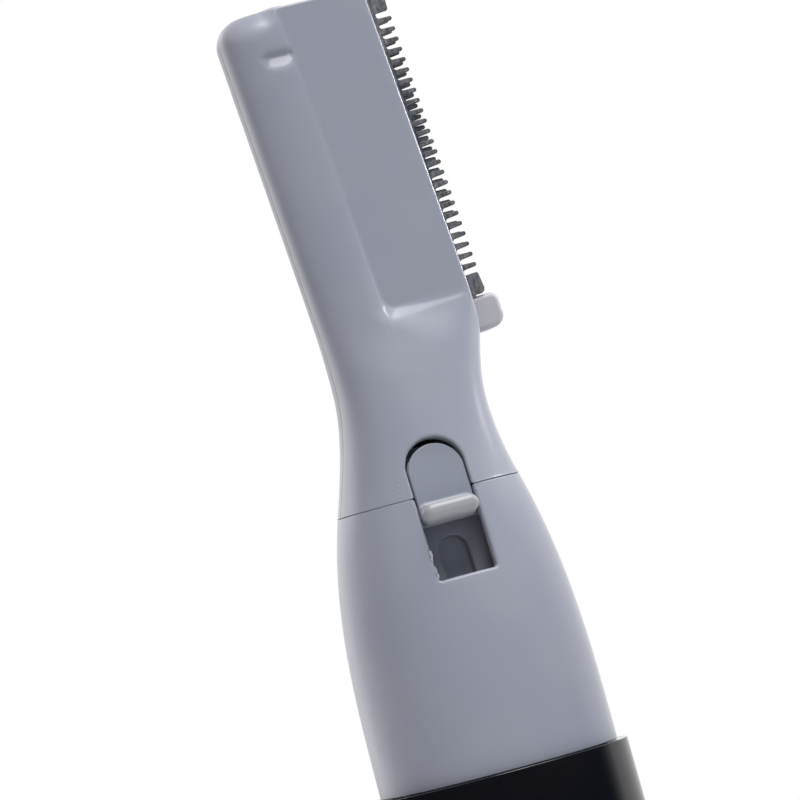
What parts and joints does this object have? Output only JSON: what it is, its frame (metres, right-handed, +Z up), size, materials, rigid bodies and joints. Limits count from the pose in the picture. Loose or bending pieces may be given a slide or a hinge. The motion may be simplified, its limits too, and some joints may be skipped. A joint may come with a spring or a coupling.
{
  "type": "electric facial trimmer",
  "caption": "Pen-shaped electric facial trimmer: leaning paddle head with a comb cutter on one edge, slide switch, grey body and a black pull-off battery sleeve.",
  "frame": {"origin": "middle of the flat base of the black sleeve, which the trimmer stands on", "axes": "+Z up the handle towards the head, -Y the side with the switch and the recessed panel, +X the blade edge"},
  "size_m": [0.0216, 0.0206, 0.1333],
  "materials": {
    "grey_shell": "satin moulded light bluish grey",
    "switch_grey": "satin moulded light grey",
    "pale_nylon": "satin pale grey",
    "black_sleeve": "high gloss black",
    "blade_steel": "etched dark steel",
    "bright_steel": "bright plated",
    "brass": "stamped strip",
    "white_nylon": "natural moulded",
    "cell_jacket": "plain printed jacket"
  },
  "bodies": {
    "handle": {"battery_sleeve": "black_sleeve"},
    "chassis": {"body_collar": "grey_shell", "head_front_shell": "grey_shell", "head_rear_shell": "grey_shell", "blade_frame": "pale_nylon", "comb_blade": "blade_steel", "blade_spring": "bright_steel", "comb_pin_lower": "bright_steel", "comb_pin_upper": "bright_steel", "switch_bed": "grey_shell", "chassis_frame": "white_nylon", "motor_can": "bright_steel", "motor_end_cap": "white_nylon", "motor_terminal_left": "brass", "motor_terminal_right": "brass", "motor_bush": "brass", "battery_cell": "cell_jacket", "positive_contact": "brass", "negative_spring": "bright_steel", "contact_strip": "brass"},
    "switch": {"switch_slider": "switch_grey", "switch_contact": "brass"},
    "rotor": {"motor_shaft": "bright_steel", "swash_cam": "white_nylon"},
    "cutter": {"cutter_blade": "blade_steel", "cutter_carrier": "white_nylon"}
  },
  "joints": [
    {"name": "sleeve_pull", "type": "slide", "parent": "handle", "child": "chassis", "axis": [0, 0, 1], "range_m": [0, 0.062]},
    {"name": "switch_slide", "type": "slide", "parent": "chassis", "child": "switch", "axis": [0, -0.184, -0.9829], "range_m": [0, 0.0043]},
    {"name": "rotor_spin", "type": "hinge", "parent": "chassis", "child": "rotor", "pos_m": [0, 0.0006, 0.0872], "axis": [0, 0, 1], "continuous": true},
    {"name": "cutter_stroke", "type": "slide", "parent": "chassis", "child": "cutter", "axis": [-0.0738, 0, 0.9973], "range_m": [-0.0004, 0.0004]}
  ]
}
